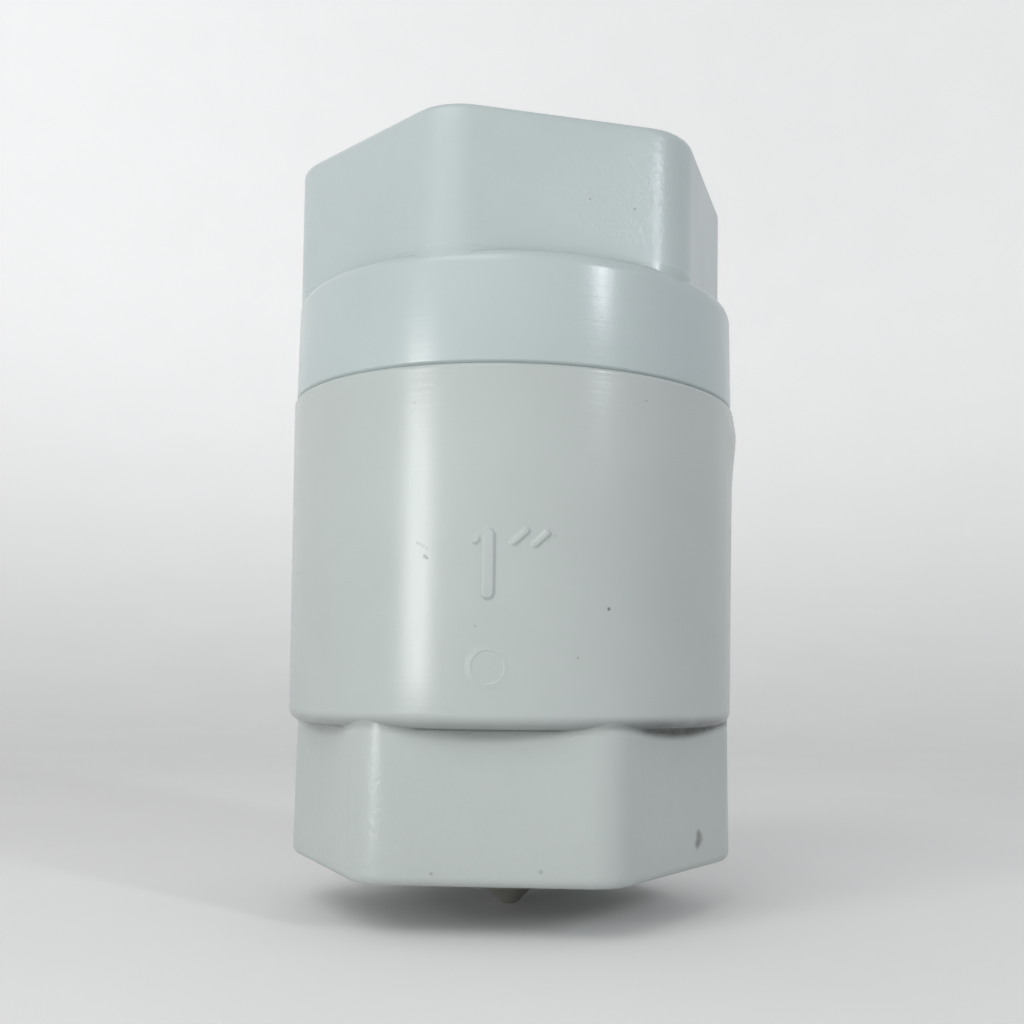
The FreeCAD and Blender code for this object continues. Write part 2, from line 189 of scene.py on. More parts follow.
class Colours(bpy.types.PropertyGroup):
    """Base colours of the finishes."""

    body: FloatVectorProperty(
        name="Body PVC",
        description="The lower moulding",
        subtype="COLOR",
        default=(0.437, 0.474, 0.466),
    )
    cap: FloatVectorProperty(
        name="Cap PVC",
        description="The upper moulding, a cooler batch",
        subtype="COLOR",
        default=(0.435, 0.492, 0.498),
    )
    stem: FloatVectorProperty(
        name="Grey plastic",
        description="The poppet and its stem",
        subtype="COLOR",
        default=(0.29, 0.285, 0.255),
    )
    guide: FloatVectorProperty(
        name="Guide plastic", description="The spider", subtype="COLOR", default=(0.52, 0.56, 0.54)
    )
    bush: FloatVectorProperty(
        name="Bush plastic", description="The bush", subtype="COLOR", default=(0.66, 0.60, 0.46)
    )
    rubber: FloatVectorProperty(
        name="Rubber", description="Both seals", subtype="COLOR", default=(0.018, 0.018, 0.019)
    )
    steel: FloatVectorProperty(
        name="Steel", description="Screw, washers", subtype="COLOR", default=(0.60, 0.60, 0.58)
    )


class StageSettings(bpy.types.PropertyGroup):
    """Floor glow and lights."""

    key: FloatProperty(name="Key light", description="Watts", default=0.36)
    front: FloatProperty(name="Front panel", description="Watts", default=0.235)
    left: FloatProperty(name="Left strip", description="Watts", default=0.245)
    right: FloatProperty(name="Right strip", description="Watts", default=0.42)
    sky: FloatProperty(name="Room light", description="Strength of the room's light", default=0.45)
    wall_glow: FloatProperty(name="Wall glow", description="All round", default=0.03)
    back_glow: FloatProperty(name="Back glow", description="More at the back", default=0.29)
    left_glow: FloatProperty(name="Left glow", description="More at the left", default=0.15)


# ---------------------------------------------------------------- surfaces


def hexagon_radius(angle, apothem, rounding, turn):
    """Outline of a rounded hexagon in polar form, with a corner at turn.

    Away from a corner it is the flat's distance over the cosine from the flat's middle; at a corner it
    is the far crossing of the ray with the rounding's circle.
    """
    off = np.mod(angle - turn + SIXTH / 2, SIXTH) - SIXTH / 2
    off = np.abs(off)
    middle = (apothem - rounding) / math.cos(SIXTH / 2)
    edge = math.atan2(rounding / 2, middle + rounding * math.cos(SIXTH / 2))
    flat = apothem / np.cos(SIXTH / 2 - off)
    arc = middle * np.cos(off) + np.sqrt(
        np.maximum(rounding**2 - (middle * np.sin(off)) ** 2, 0)
    )
    return np.where(off > edge, flat, arc)


def columns_round(apothem, rounding, turn, in_corner=12, in_flat=28):
    """Angles for the columns of a shell: close across each rounded corner, wider along the flats."""
    middle = (apothem - rounding) / math.cos(SIXTH / 2)
    edge = math.atan2(rounding / 2, middle + rounding * math.cos(SIXTH / 2))
    corner = np.linspace(-edge, edge, in_corner, endpoint=False)
    flat = np.linspace(edge, SIXTH - edge, in_flat, endpoint=False)
    sector = np.concatenate([corner, flat])
    return (turn + SIXTH * np.arange(6)[:, None] + sector).ravel()


def end_rim(angle, apothem, rounding, turn, rim, face_level, inward, steps=7):
    """Rounded rim of a hexagonal end, from its face to its flats: the outline moves in by the quarter
    circle's sagitta while it climbs by its height."""
    sweep = np.linspace(0, math.pi / 2, steps)[:, None]
    inset = rim * (1 - np.sin(sweep))
    radius = np.concatenate(
        [hexagon_radius(angle[None], apothem - d, rounding - d, turn) for d in inset[:, 0]]
    )
    height = face_level + inward * rim * (1 - np.cos(sweep)) + 0 * angle[None]
    return radius, height


def shoulder(outer, flat, convex, concave, level, inward, steps=7):
    """S-shaped step from a round shoulder in to a flat, one curve for each column.

    Two arcs turn through the same angle, the first bulging and the second hollow. The angle is the one
    whose two sagittas add up to the step, and where the step is wider than both radii the arcs are full
    quarters with a straight shelf between them.
    """
    step = outer - flat
    both = convex + concave
    turn = np.arccos(np.clip(1 - step / both, 0, 1))
    part = np.linspace(0, 1, steps)[:, None]
    bulge = part * turn
    first_r = outer - convex * (1 - np.cos(bulge))
    first_z = convex * np.sin(bulge)
    shelf = np.maximum(step - both, 0)
    start_r, start_z = first_r[-1] - shelf, first_z[-1]
    hollow = (1 - part) * turn
    second_r = start_r - concave * (np.cos(hollow) - np.cos(turn))
    second_z = start_z + concave * (np.sin(turn) - np.sin(hollow))
    radius = np.concatenate([first_r, second_r])
    height = level + inward * np.concatenate([first_z, second_z])
    return radius, height


def threaded(angle, start, end, crest, depth, pitch, rows_per_turn=14):
    """Helical thread wall from height start to end: the radius is the crest plus the depth times a
    rounded trapezoid of height over pitch less the turn, and it fades in and out over most of a pitch."""
    rows = int(abs(end - start) / pitch * rows_per_turn) + 1
    height = np.linspace(start, end, rows)[:, None] + 0 * angle[None]
    phase = np.mod(height / pitch - angle[None] / math.tau, 1)
    wave = 1 - np.abs(2 * phase - 1)
    groove = 0.5 - 0.5 * np.cos(math.pi * np.clip(1.5 * wave - 0.25, 0, 1))
    low, high = min(start, end), max(start, end)
    fade = np.clip(np.minimum(height - low, high - height) / (0.8 * pitch), 0, 1)
    return crest + depth * groove * fade * fade * (3 - 2 * fade), height


def turned_path(corners, columns, steps=4):
    """Straight runs through corners (radius, height, rounding), each corner an arc of its own radius.

    Each arc's middle lies on the corner's bisector, and its points swing evenly between the two
    directions in which it meets the runs. Ends have no rounding.
    """
    rows = []
    points = np.array([c[:2] for c in corners], float)
    for i, (across, up, rounding) in enumerate(corners):
        if rounding == 0 or i in (0, len(corners) - 1):
            rows.append((across, up))
            continue
        back, ahead = points[i - 1] - points[i], points[i + 1] - points[i]
        u, v = back / np.hypot(*back), ahead / np.hypot(*ahead)
        half = math.acos(np.clip(u @ v, -1, 1)) / 2
        reach = min(rounding / math.tan(half), 0.49 * np.hypot(*back), 0.49 * np.hypot(*ahead))
        radius = reach * math.tan(half)
        centre = points[i] + (u + v) / np.linalg.norm(u + v) * radius / math.sin(half)
        first, last = points[i] + u * reach - centre, points[i] + v * reach - centre
        swing = math.pi - 2 * half
        for part in np.linspace(0, 1, steps):
            mix = (first * math.sin((1 - part) * swing) + last * math.sin(part * swing))
            rows.append(tuple(centre + mix / math.sin(swing)))
    table = np.array(rows)
    return table[:, :1] + np.zeros(columns), table[:, 1:] + np.zeros(columns)


def mesh_piece(name, points, faces, sharp_angle=40):
    """New mesh object from points in millimetres and faces, smooth except across sharp edges."""
    mesh = bpy.data.meshes.new(name)
    mesh.from_pydata((points * MM).tolist(), [], faces)
    mesh.validate()
    mesh.shade_smooth()
    mesh.set_sharp_from_angle(angle=math.radians(sharp_angle))
    piece = bpy.data.objects.new(name, mesh)
    bpy.context.scene.collection.objects.link(piece)
    return piece


def grid_faces(rings, columns, wrap_rings):
    """Four-sided faces of a grid whose columns wrap, and whose rings wrap if asked."""
    i = np.arange(rings if wrap_rings else rings - 1)[:, None]
    j = np.arange(columns)[None]
    after, beside = (i + 1) % rings, (j + 1) % columns
    faces = np.stack(
        np.broadcast_arrays(
            i * columns + j, i * columns + beside, after * columns + beside, after * columns + j
        ),
        -1,
    )
    return faces.reshape(-1, 4).tolist()


def closed_shell(name, parts, angle):
    """Closed skin of a turned moulding: parts are stacks of (radius, height) rows that follow its
    section anticlockwise, so that every face looks out of the plastic."""
    radius = np.concatenate([p[0] for p in parts])
    height = np.concatenate([p[1] for p in parts])
    points = np.stack([radius * np.cos(angle), radius * np.sin(angle), height], -1)
    return mesh_piece(name, points.reshape(-1, 3), grid_faces(*radius.shape, True))


def capped_tube(name, rings, sharp_angle=40):
    """Closed tube from rings of points (rings, columns, 3), each end drawn to a point."""
    count, columns = rings.shape[:2]
    ends = np.stack([rings[0].mean(0), rings[-1].mean(0)])
    points = np.concatenate([rings.reshape(-1, 3), ends])
    faces = grid_faces(count, columns, False)
    around = np.arange(columns)
    beside = (around + 1) % columns
    first, last = count * columns, count * columns + 1
    top = (count - 1) * columns
    faces += np.stack([beside, around, np.full(columns, first)], -1).tolist()
    faces += np.stack([top + around, top + beside, np.full(columns, last)], -1).tolist()
    return mesh_piece(name, points, faces, sharp_angle)


def keep(piece, body, slot, finish, *replaced):
    """Give a piece its finish, its body and the CAD nodes that it stands for."""
    piece.data.materials.append(finish)
    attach(piece, body)
    if replaced:
        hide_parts(*replaced)
    return piece


# ---------------------------------------------------------------- finishes


class Finish:
    """A new material with its node tree at hand."""

    def __init__(self, name):
        self.material = bpy.data.materials.new(name)
        self.material.use_nodes = True
        self.tree = self.material.node_tree
        self.shader = self.tree.nodes["Principled BSDF"]
        self.place = self.add("ShaderNodeTexCoord").outputs["Object"]

    def add(self, kind, **settings):
        """One node with its settings."""
        node = self.tree.nodes.new(kind)
        for key, value in settings.items():
            setattr(node, key, value)
        return node

    def link(self, source, target):
        """Wire from an output to an input."""
        self.tree.links.new(source, target)

    def stretched(self, scale):
        """Object coordinates scaled along each axis, so that a pattern has a grain."""
        node = self.add("ShaderNodeMapping")
        node.inputs["Scale"].default_value = scale
        self.link(self.place, node.inputs["Vector"])
        return node.outputs["Vector"]

    def noise(self, scale, detail=2.0, roughness=0.5, place=None):
        """Noise in object space, scale in cells a metre."""
        node = self.add("ShaderNodeTexNoise")
        node.inputs["Scale"].default_value = scale
        node.inputs["Detail"].default_value = detail
        node.inputs["Roughness"].default_value = roughness
        self.link(place or self.place, node.inputs["Vector"])
        return node.outputs["Fac"]

    def ramp(self, value, stops):
        """Colour ramp through (position, colour) stops."""
        node = self.add("ShaderNodeValToRGB")
        band = node.color_ramp
        while len(band.elements) < len(stops):
            band.elements.new(0.5)
        for element, (position, colour) in zip(band.elements, stops):
            element.position = position
            element.color = (*colour, 1.0)
        self.link(value, node.inputs["Fac"])
        return node.outputs["Color"]

    def mask(self, value, low, high):
        """Value turned into 0 to 1 between low and high."""
        node = self.add("ShaderNodeMapRange", interpolation_type="SMOOTHSTEP")
        node.inputs["From Min"].default_value = low
        node.inputs["From Max"].default_value = high
        self.link(value, node.inputs["Value"])
        return node.outputs["Result"]

    def sum(self, operation, *terms):
        """Values combined in their order; each is a socket or a number."""
        total = terms[0]
        for term in terms[1:]:
            node = self.add("ShaderNodeMath", operation=operation)
            for socket, value in zip(node.inputs, (total, term)):
                if isinstance(value, (int, float)):
                    socket.default_value = value
                else:
                    self.link(value, socket)
            total = node.outputs["Value"]
        return total

    def bump(self, height, distance, strength=1.0, under=None):
        """Bump of a height in metres, over another bump if given."""
        node = self.add("ShaderNodeBump")
        node.inputs["Strength"].default_value = strength
        node.inputs["Distance"].default_value = distance
        self.link(height, node.inputs["Height"])
        if under is not None:
            self.link(under, node.inputs["Normal"])
        return node.outputs["Normal"]

    def tint(self, factor, colour, other):
        """Mix of two colours; each is a socket or a colour."""
        node = self.add("ShaderNodeMix", data_type="RGBA")
        for socket, value in ((node.inputs[6], colour), (node.inputs[7], other)):
            if isinstance(value, bpy.types.NodeSocket):
                self.link(value, socket)
            else:
                socket.default_value = (*value, 1.0)
        self.link(factor, node.inputs[0])
        return node.outputs[2]


def shade(colour, factor):
    """A colour made darker or lighter."""
    return tuple(min(1.0, c * factor) for c in colour)


def mottled_pvc(finish, colour):
    """Base colour of PVC: faint clouding and a few dark specks in the material itself."""
    clouds = finish.noise(45, detail=3, roughness=0.6)
    base = finish.ramp(clouds, [(0.3, shade(colour, 0.965)), (0.7, shade(colour, 1.02))])
    specks = finish.add("ShaderNodeTexVoronoi", feature="F1")
    specks.inputs["Scale"].default_value = 190
    finish.link(finish.place, specks.inputs["Vector"])
    rare = finish.sum("LESS_THAN", finish.noise(90, detail=0), 0.40)
    dots = finish.sum("LESS_THAN", specks.outputs["Distance"], 0.035)
    return finish.tint(finish.sum("MULTIPLY", dots, rare, 0.45), base, shade(colour, 0.35))


def painted_crease_shade(finish, base, colour, past, painted_shade):
    """Painted shade of a strength in a crease, in place of the shadow under the overhang: soft over the
    rounding and the flats, with a thin dark line of painted shade.

    Past is the distance beyond the crease, on the hexagon's side. The painted shadow fades in over the
    rounding, and on the flats it reaches furthest at their middles, by 0.45 of how much nearer to the
    axis they are than a corner, as the overhang's shadow does. It is heavier on the valve's right-hand side,
    where x is large, the side turned away from the light.
    """
    corner_radius = 26.7 * MM
    parts = finish.add("ShaderNodeSeparateXYZ")
    finish.link(finish.place, parts.inputs[0])
    squares = [finish.sum("MULTIPLY", parts.outputs[axis], parts.outputs[axis]) for axis in "XY"]
    away = finish.sum("SQRT", finish.sum("ADD", *squares), 0.0)
    gap = finish.sum("SUBTRACT", corner_radius, away)
    outside = finish.mask(away, 21.5 * MM, 23.0 * MM)
    lens = finish.sum("SUBTRACT", past, finish.sum("MULTIPLY", gap, 0.45))
    soft = finish.sum(
        "MULTIPLY", finish.mask(past, -1.7 * MM, 0.1 * MM), finish.mask(lens, 0.55 * MM, -0.6 * MM)
    )
    # the right-hand side, turned away from the light, gets more painted shade
    one_side = finish.mask(parts.outputs["X"], 8 * MM, 19 * MM)
    heavier = finish.sum("ADD", finish.sum("MULTIPLY", one_side, 1.45 * painted_shade), painted_shade)
    patchy = finish.mask(finish.noise(260, detail=2), -0.6, 0.7)
    # painted shadow under the overhang: a lens on each flat, darker towards the right-hand side
    dirt = finish.sum("MULTIPLY", soft, finish.sum("MULTIPLY", patchy, heavier), outside)
    base = finish.tint(dirt, base, shade(colour, 0.1))
    # a thin dark line of painted shade along the crease, only where the flat is set back under the overhang
    from_line = finish.sum("ABSOLUTE", finish.sum("SUBTRACT", past, 0.05 * MM), 0.0)
    line = finish.sum(
        "MULTIPLY",
        finish.mask(from_line, 0.3 * MM, 0.05 * MM),
        finish.mask(gap, 0.9 * MM, 1.6 * MM),
        outside,
        1.3 * painted_shade,
    )
    return finish.tint(line, base, shade(colour, 0.06))


def dirt_spots(finish, base, spots):
    """Single spots of dirt, each fading from its middle, with a width and a strength."""
    for x, y, z, across, strength in spots:
        distance = finish.add("ShaderNodeVectorMath", operation="DISTANCE")
        finish.link(finish.place, distance.inputs[0])
        distance.inputs[1].default_value = (x * MM, y * MM, z * MM)
        spot = finish.mask(distance.outputs["Value"], 0.7 * across * MM, 0.15 * across * MM)
        base = finish.tint(finish.sum("MULTIPLY", spot, strength), base, (0.06, 0.055, 0.045))
    return base


def white_pvc(name, colour, level, way, painted_shade, spots):
    """Satin moulded PVC: clouding, specks, painted shade in the crease at a level, and single spots of dirt.

    The hexagon is below the crease where way is 1, and above it where way is -1. It is duller than
    the turned part, and crinkled where that has fine lines round the axis.
    """
    finish = Finish(name)
    parts = finish.add("ShaderNodeSeparateXYZ")
    finish.link(finish.place, parts.inputs[0])
    past = finish.sum("MULTIPLY", finish.sum("SUBTRACT", level * MM, parts.outputs["Z"]), way)
    # the crease is darkened with painted shade, in place of the shadow under the overhang
    base = painted_crease_shade(finish, mottled_pvc(finish, colour), colour, past, painted_shade)
    base = dirt_spots(finish, base, spots)
    finish.link(base, finish.shader.inputs["Base Color"])
    smears = finish.noise(260, detail=4, roughness=0.7, place=finish.stretched((1, 1, 0.35)))
    rough = finish.add("ShaderNodeMapRange")
    bounds = {"From Min": 0.3, "From Max": 0.7, "To Min": 0.21, "To Max": 0.27}
    for bound, value in bounds.items():
        rough.inputs[bound].default_value = value
    finish.link(smears, rough.inputs["Value"])
    duller = finish.sum("MULTIPLY", finish.mask(past, 0.0, 1.0 * MM), 0.07)
    duller = finish.sum("ADD", rough.outputs["Result"], duller)
    finish.link(duller, finish.shader.inputs["Roughness"])
    crinkle = finish.sum("SUBTRACT", finish.noise(1300, detail=3, roughness=0.6), 0.5)
    crinkle = finish.sum("MULTIPLY", crinkle, finish.mask(past, 0.8 * MM, 3.0 * MM))
    grain = finish.bump(finish.noise(1500, detail=3), 0.00002, strength=0.35)
    grain = finish.bump(crinkle, 0.00007, strength=0.8, under=grain)
    lines = finish.noise(1.0, detail=4, roughness=0.75, place=finish.stretched((6, 6, 1900)))
    lines = finish.sum("SUBTRACT", lines, 0.5)
    lines = finish.sum("MULTIPLY", lines, finish.mask(past, -1.8 * MM, -2.4 * MM))
    grain = finish.bump(lines, 0.000018, strength=0.7, under=grain)
    finish.link(grain, finish.shader.inputs["Normal"])
    finish.shader.inputs["Specular IOR Level"].default_value = 0.43
    finish.shader.inputs["IOR"].default_value = 1.53
    return finish.material


def moulded_plastic(name, colour, roughness):
    """Plain moulded plastic with faint clouding and a fine grain."""
    finish = Finish(name)
    clouds = finish.noise(160, detail=3)
    base = finish.ramp(clouds, [(0.3, shade(colour, 0.9)), (0.7, shade(colour, 1.08))])
    finish.link(base, finish.shader.inputs["Base Color"])
    finish.shader.inputs["Roughness"].default_value = roughness
    grain = finish.bump(finish.noise(1800, detail=2), 0.00002, strength=0.4)
    finish.link(grain, finish.shader.inputs["Normal"])
    return finish.material


def black_rubber():
    """Nitrile rubber: nearly black, with a dusty bloom in patches."""
    finish = Finish("black_rubber")
    colour = tuple(bpy.context.scene.valve_colours.rubber)
    bloom = finish.noise(300, detail=4, roughness=0.6)
    base = finish.ramp(bloom, [(0.35, colour), (0.75, shade(colour, 2.2))])
    finish.link(base, finish.shader.inputs["Base Color"])
    rough = finish.mask(bloom, -0.9, 1.3)
    finish.link(rough, finish.shader.inputs["Roughness"])
    grain = finish.bump(finish.noise(2500, detail=2), 0.00002, strength=0.5)
    finish.link(grain, finish.shader.inputs["Normal"])
    return finish.material


def steel(name, brightness, roughness):
    """Stainless steel with fine lines round the axis and slight staining."""
    finish = Finish(name)
    colour = shade(tuple(bpy.context.scene.valve_colours.steel), brightness)
    stains = finish.noise(420, detail=4)
    base = finish.ramp(stains, [(0.3, shade(colour, 0.86)), (0.7, colour)])
    finish.link(base, finish.shader.inputs["Base Color"])
    finish.shader.inputs["Metallic"].default_value = 1.0
    finish.shader.inputs["Roughness"].default_value = roughness
    scratches = finish.noise(1.0, detail=3, place=finish.stretched((400, 400, 5200)))
    grain = finish.bump(scratches, 0.00001, strength=0.5)
    finish.link(grain, finish.shader.inputs["Normal"])
    return finish.material


FINISHES = {}


def make_finishes():
    """Every finish of the valve by its name, made once."""
    if FINISHES:
        return
    colours = bpy.context.scene.valve_colours
    sizes = bpy.context.scene.valve_shell
    # 0.4 and 0.05 are the strengths of the painted shade in each moulding's crease
    FINISHES["body_pvc"] = white_pvc(
        "body_pvc", tuple(colours.body), sizes.hexagon_level, 1, 0.4, BODY_SPECKS
    )
    FINISHES["cap_pvc"] = white_pvc(
        "cap_pvc", tuple(colours.cap), sizes.shelf_level, -1, 0.05, CAP_SPECKS
    )
    FINISHES["grey_plastic"] = moulded_plastic("grey_plastic", tuple(colours.stem), 0.42)
    FINISHES["guide_plastic"] = moulded_plastic("guide_plastic", tuple(colours.guide), 0.45)
    FINISHES["bush_plastic"] = moulded_plastic("bush_plastic", tuple(colours.bush), 0.38)
    FINISHES["black_rubber"] = black_rubber()
    FINISHES["stainless_steel"] = steel("stainless_steel", 1.0, 0.28)
    FINISHES["spring_steel"] = steel("spring_steel", 0.92, 0.22)


# ---------------------------------------------------------------- pieces


def gate_bump(angle, levels, rim):
    """Height, up to 1, of the trimmed gate's bump under the rim, at the barrel's right.

    It is exp(-(turn / 0.13)^2) round the barrel, with its middle at -0.09 radians. Upwards it rises
    as exp(-(below / 4.2)^2), below being the distance under level 52.6, and runs out near the rim.
    """
    middle, width = -0.09, 0.13
    across = np.exp(-((np.abs(np.angle(np.exp(1j * (angle - middle)))) / width) ** 2))
    run_out = np.clip((rim - 0.25 - levels) / 2.6, 0, 1)
    rise = np.exp(-((np.maximum(52.6 - levels, 0) / 4.2) ** 2))
    return run_out * rise * across


class VALVE_OT_body(bpy.types.Operator):
    """Lower moulding: hexagon, barrel, mouth, chamber and outlet thread"""

    bl_idname = "valve.body"
    bl_label = "Moulded body"

    def execute(self, context):
        s, t = context.scene.valve_shell, context.scene.valve_threads
        apothem, rounding, lean = s.across_flats / 2, s.edge_rounding, s.flat_draft / 2
        angle = columns_round(apothem, rounding, 0.0)
        flat = hexagon_radius(angle, apothem, rounding, 0.0)
        rim = size_in("body", 1, 2)
        shelf = s.hexagon_level
        foot_radius = s.barrel_radius - s.draft
        crease = shoulder(
            foot_radius, flat - lean, s.shoulder_rounding, s.crease_rounding,
            shelf + s.shoulder_rounding, -1,
        )
        levels = np.concatenate(
            [np.linspace(shelf + s.shoulder_rounding, 42, 6)[1:], np.linspace(43, rim - 0.55, 16)]
        )[:, None]
        drafted = barrel_at(s, levels)
        barrel = (
            drafted + s.vestige_height * gate_bump(angle, levels, rim), levels + 0 * angle[None]
        )
        count = len(angle)
        mouth = turned_path(
            [
                (s.barrel_radius, rim - 0.5, 0),
                (s.barrel_radius, rim - 0.3, 0.25),
                (s.barrel_radius - 0.3, rim, 0.12),
                (23.4, rim, 0.2),
                (23.4, 53.2, 0.2),
                (MOUTH_CREST, 53.2, 0.2),
                (MOUTH_CREST, 52.9, 0),
            ],
            count,
        )
        cap_thread = threaded(angle, 52.9, 44.2, MOUTH_CREST, t.cap_depth + 0.1, t.cap_pitch)
        chamber = turned_path(
            [
                (MOUTH_CREST, 44.0, 0),
                (MOUTH_CREST, 43.8, 0.1),
                (19.8, 42.5, 0.3),
                (19.8, 25.5, 0.6),
                (17.6, 23.3, 0.3),
                (17.6, 22.8, 0.08),
                (18.3, 22.8, 0.08),
                (18.3, 21.5, 0.08),
                (17.6, 21.5, 0.05),
                (17.6, 18.0, 0.1),
                (13.8, 18.0, 0.25),
                (13.8, 16.5, 0.2),
                (PIPE_CREST, 16.5, 0.1),
                (PIPE_CREST, 16.3, 0),
            ],
            count,
        )
        outlet = threaded(angle, PIPE_END, PIPE_START, PIPE_CREST, t.pipe_depth, t.pipe_pitch)
        bevel = turned_path(
            [(PIPE_CREST, 1.85, 0), (15.2, 1.8, 0.1), (17.0, 0.0, 0.2), (18.4, 0.0, 0)], count
        )
        end = end_rim(angle, apothem + lean, rounding, 0.0, s.end_rounding, 0.0, 1)
        wall_levels = np.linspace(s.end_rounding, shelf - 2.0, 5)[1:, None]
        wall = (flat + lean - 2 * lean * wall_levels / shelf, wall_levels + 0 * angle[None])
        step = (crease[0][::-1], crease[1][::-1])
        shell = closed_shell(
            "body_shell",
            [end, wall, step, barrel, mouth, cap_thread, chamber, outlet, bevel],
            angle,
        )
        keep(shell, BODY, "white_pvc", FINISHES["body_pvc"], "body")
        return {"FINISHED"}


class VALVE_OT_cap(bpy.types.Operator):
    """Upper moulding: hexagon, collar, threaded spigot, seat and inlet thread"""

    bl_idname = "valve.cap"
    bl_label = "Moulded cap"

    def execute(self, context):
        s, t = context.scene.valve_shell, context.scene.valve_threads
        apothem, rounding, turn = s.across_flats / 2, s.cap_edge_rounding, s.cap_turn
        angle = columns_round(apothem, rounding, turn)
        flat = hexagon_radius(angle, apothem, rounding, turn)
        count = len(angle)
        top, shelf = size_in("cap", 1, 2), s.shelf_level
        seat = turned_path(
            [
                (12.4, 44.5, 0),
                (12.4, 43.5, 0.2),
                (14.0, 43.5, 0.35),
                (14.0, 44.3, 0.2),
                (19.95, 44.3, 0.2),
                (SPIGOT_CREST, 45.3, 0.1),
                (SPIGOT_CREST, 45.5, 0),
            ],
            count,
        )
        spigot = threaded(angle, 45.6, 52.6, SPIGOT_CREST, t.cap_depth, t.cap_pitch)
        collar_top = s.collar_radius - 0.2
        collar = turned_path(
            [
                (SPIGOT_CREST, 52.7, 0),
                (SPIGOT_CREST, SEAM_LEVEL, 0.2),
                (s.collar_radius - 0.3, SEAM_LEVEL, 0.12),
                (s.collar_radius, SEAM_LEVEL + 0.3, 0.25),
                (collar_top, shelf - s.collar_rounding - 0.1, 0),
            ],
            count,
        )
        step = shoulder(
            collar_top, flat, s.collar_rounding, s.crease_rounding, shelf - s.collar_rounding, 1
        )
        wall_levels = np.linspace(shelf + 1.2, top - s.end_rounding, 6)[:-1, None]
        wall = (flat + 0 * wall_levels, wall_levels + 0 * angle[None])
        end = end_rim(angle, apothem, rounding, turn, s.end_rounding, top, -1)
        end = (end[0][::-1], end[1][::-1])
        bevel = turned_path(
            [(18.4, top, 0), (17.0, top, 0.2), (15.2, top - 1.8, 0.1), (PIPE_CREST, top - 1.85, 0)],
            count,
        )
        inlet = threaded(
            angle, top - PIPE_START, top - PIPE_END, PIPE_CREST, t.pipe_depth, t.pipe_pitch
        )
        passage = turned_path(
            [
                (PIPE_CREST, top - 16.3, 0),
                (PIPE_CREST, top - 16.5, 0.1),
                (13.9, top - 16.5, 0.25),
                (13.9, 60.0, 1.5),
                (12.4, SEAM_LEVEL, 1.5),
                (12.4, 45.0, 0),
            ],
            count,
        )
        shell = closed_shell(
            "cap_shell", [seat, spigot, collar, step, wall, end, bevel, inlet, passage], angle
        )
        keep(shell, CAP, "white_pvc", FINISHES["cap_pvc"], "cap")
        return {"FINISHED"}


def barrel_at(sizes, level):
    """Radius of the barrel at a height: the foot's radius and the share of the draft climbed so far."""
    rim = size_in("body", 1, 2)
    share = (level - sizes.hexagon_level) / (rim - sizes.hexagon_level)
    return sizes.barrel_radius - sizes.draft * (1 - share)


def relief(sizes, middle, half, lean, profile):
    """Rings of a moulded mark wrapped round the barrel.

    Each ring is every point at one distance from a centre line of half length half, leaning from
    upright, so that it has straight sides and half-round ends. It is wrapped by turning distance
    across into an angle, and lifted off the barrel by the height that its profile gives.
    """
    if half:
        swing = np.linspace(0, math.pi, 21)
        bearing = np.concatenate([swing, swing + math.pi])
        shift = np.repeat([half, -half], len(swing))
    else:
        bearing = np.linspace(0, math.tau, 96, endpoint=False)
        shift = 0 * bearing
    distance, lift = np.array(profile).T[:, :, None]
    side = distance * np.cos(bearing)
    along = distance * np.sin(bearing) + shift
    across = middle[0] + side * math.cos(lean) + along * math.sin(lean)
    climb = middle[1] - side * math.sin(lean) + along * math.cos(lean)
    out = barrel_at(sizes, climb) + lift
    turn = across / sizes.barrel_radius - math.pi / 2
    return np.stack([out * np.cos(turn), out * np.sin(turn), climb], -1)


class VALVE_OT_marks(bpy.types.Operator):
    """Raised size numeral and the mould's witness ring on the barrel"""

    bl_idname = "valve.marks"
    bl_label = "Moulded marks"

    def execute(self, context):
        sizes = context.scene.valve_shell
        # middle across and up, length, width, height, lean from upright in radians
        strokes = {
            "numeral_stem": ((0.1, 34.15), 7.75, 1.75, 0.30, 0.0),
            "numeral_flag": ((-1.2, 36.65), 1.25, 1.05, 0.22, 0.8),
            "inch_tick_left": ((3.45, 37.05), 2.75, 1.05, 0.24, 0.82),
            "inch_tick_right": ((5.65, 36.85), 2.75, 1.05, 0.24, 0.82),
        }
        part = np.linspace(0, 1, 9)
        slope = 0.4 * part
        for name, (middle, length, width, height, lean) in strokes.items():
            rise = height * part * part * (3 - 2 * part)
            profile = [(width / 2 + 0.04, -0.15), (width / 2 + 0.03, -0.02)]
            profile += list(zip(width / 2 - slope, rise))
            rings = relief(sizes, middle, (length - width) / 2, lean, profile)
            keep(capped_tube(name, rings), BODY, "white_pvc", FINISHES["body_pvc"])
        # distance from the ring's middle, height off the barrel
        ring = [
            (1.62, -0.1), (1.64, -0.01), (1.66, 0.0), (1.71, 0.03), (1.76, 0.055), (1.82, 0.06),
            (1.95, 0.045), (2.1, 0.022), (2.25, 0.006), (2.35, 0.0), (2.38, -0.01), (2.4, -0.1),
        ]
        rings = relief(sizes, (0.2, 23.35), 0, 0.0, ring)
        faces = grid_faces(*rings.shape[:2], True)
        witness = mesh_piece("witness_ring", rings.reshape(-1, 3), faces)
        keep(witness, BODY, "white_pvc", FINISHES["body_pvc"])
        return {"FINISHED"}


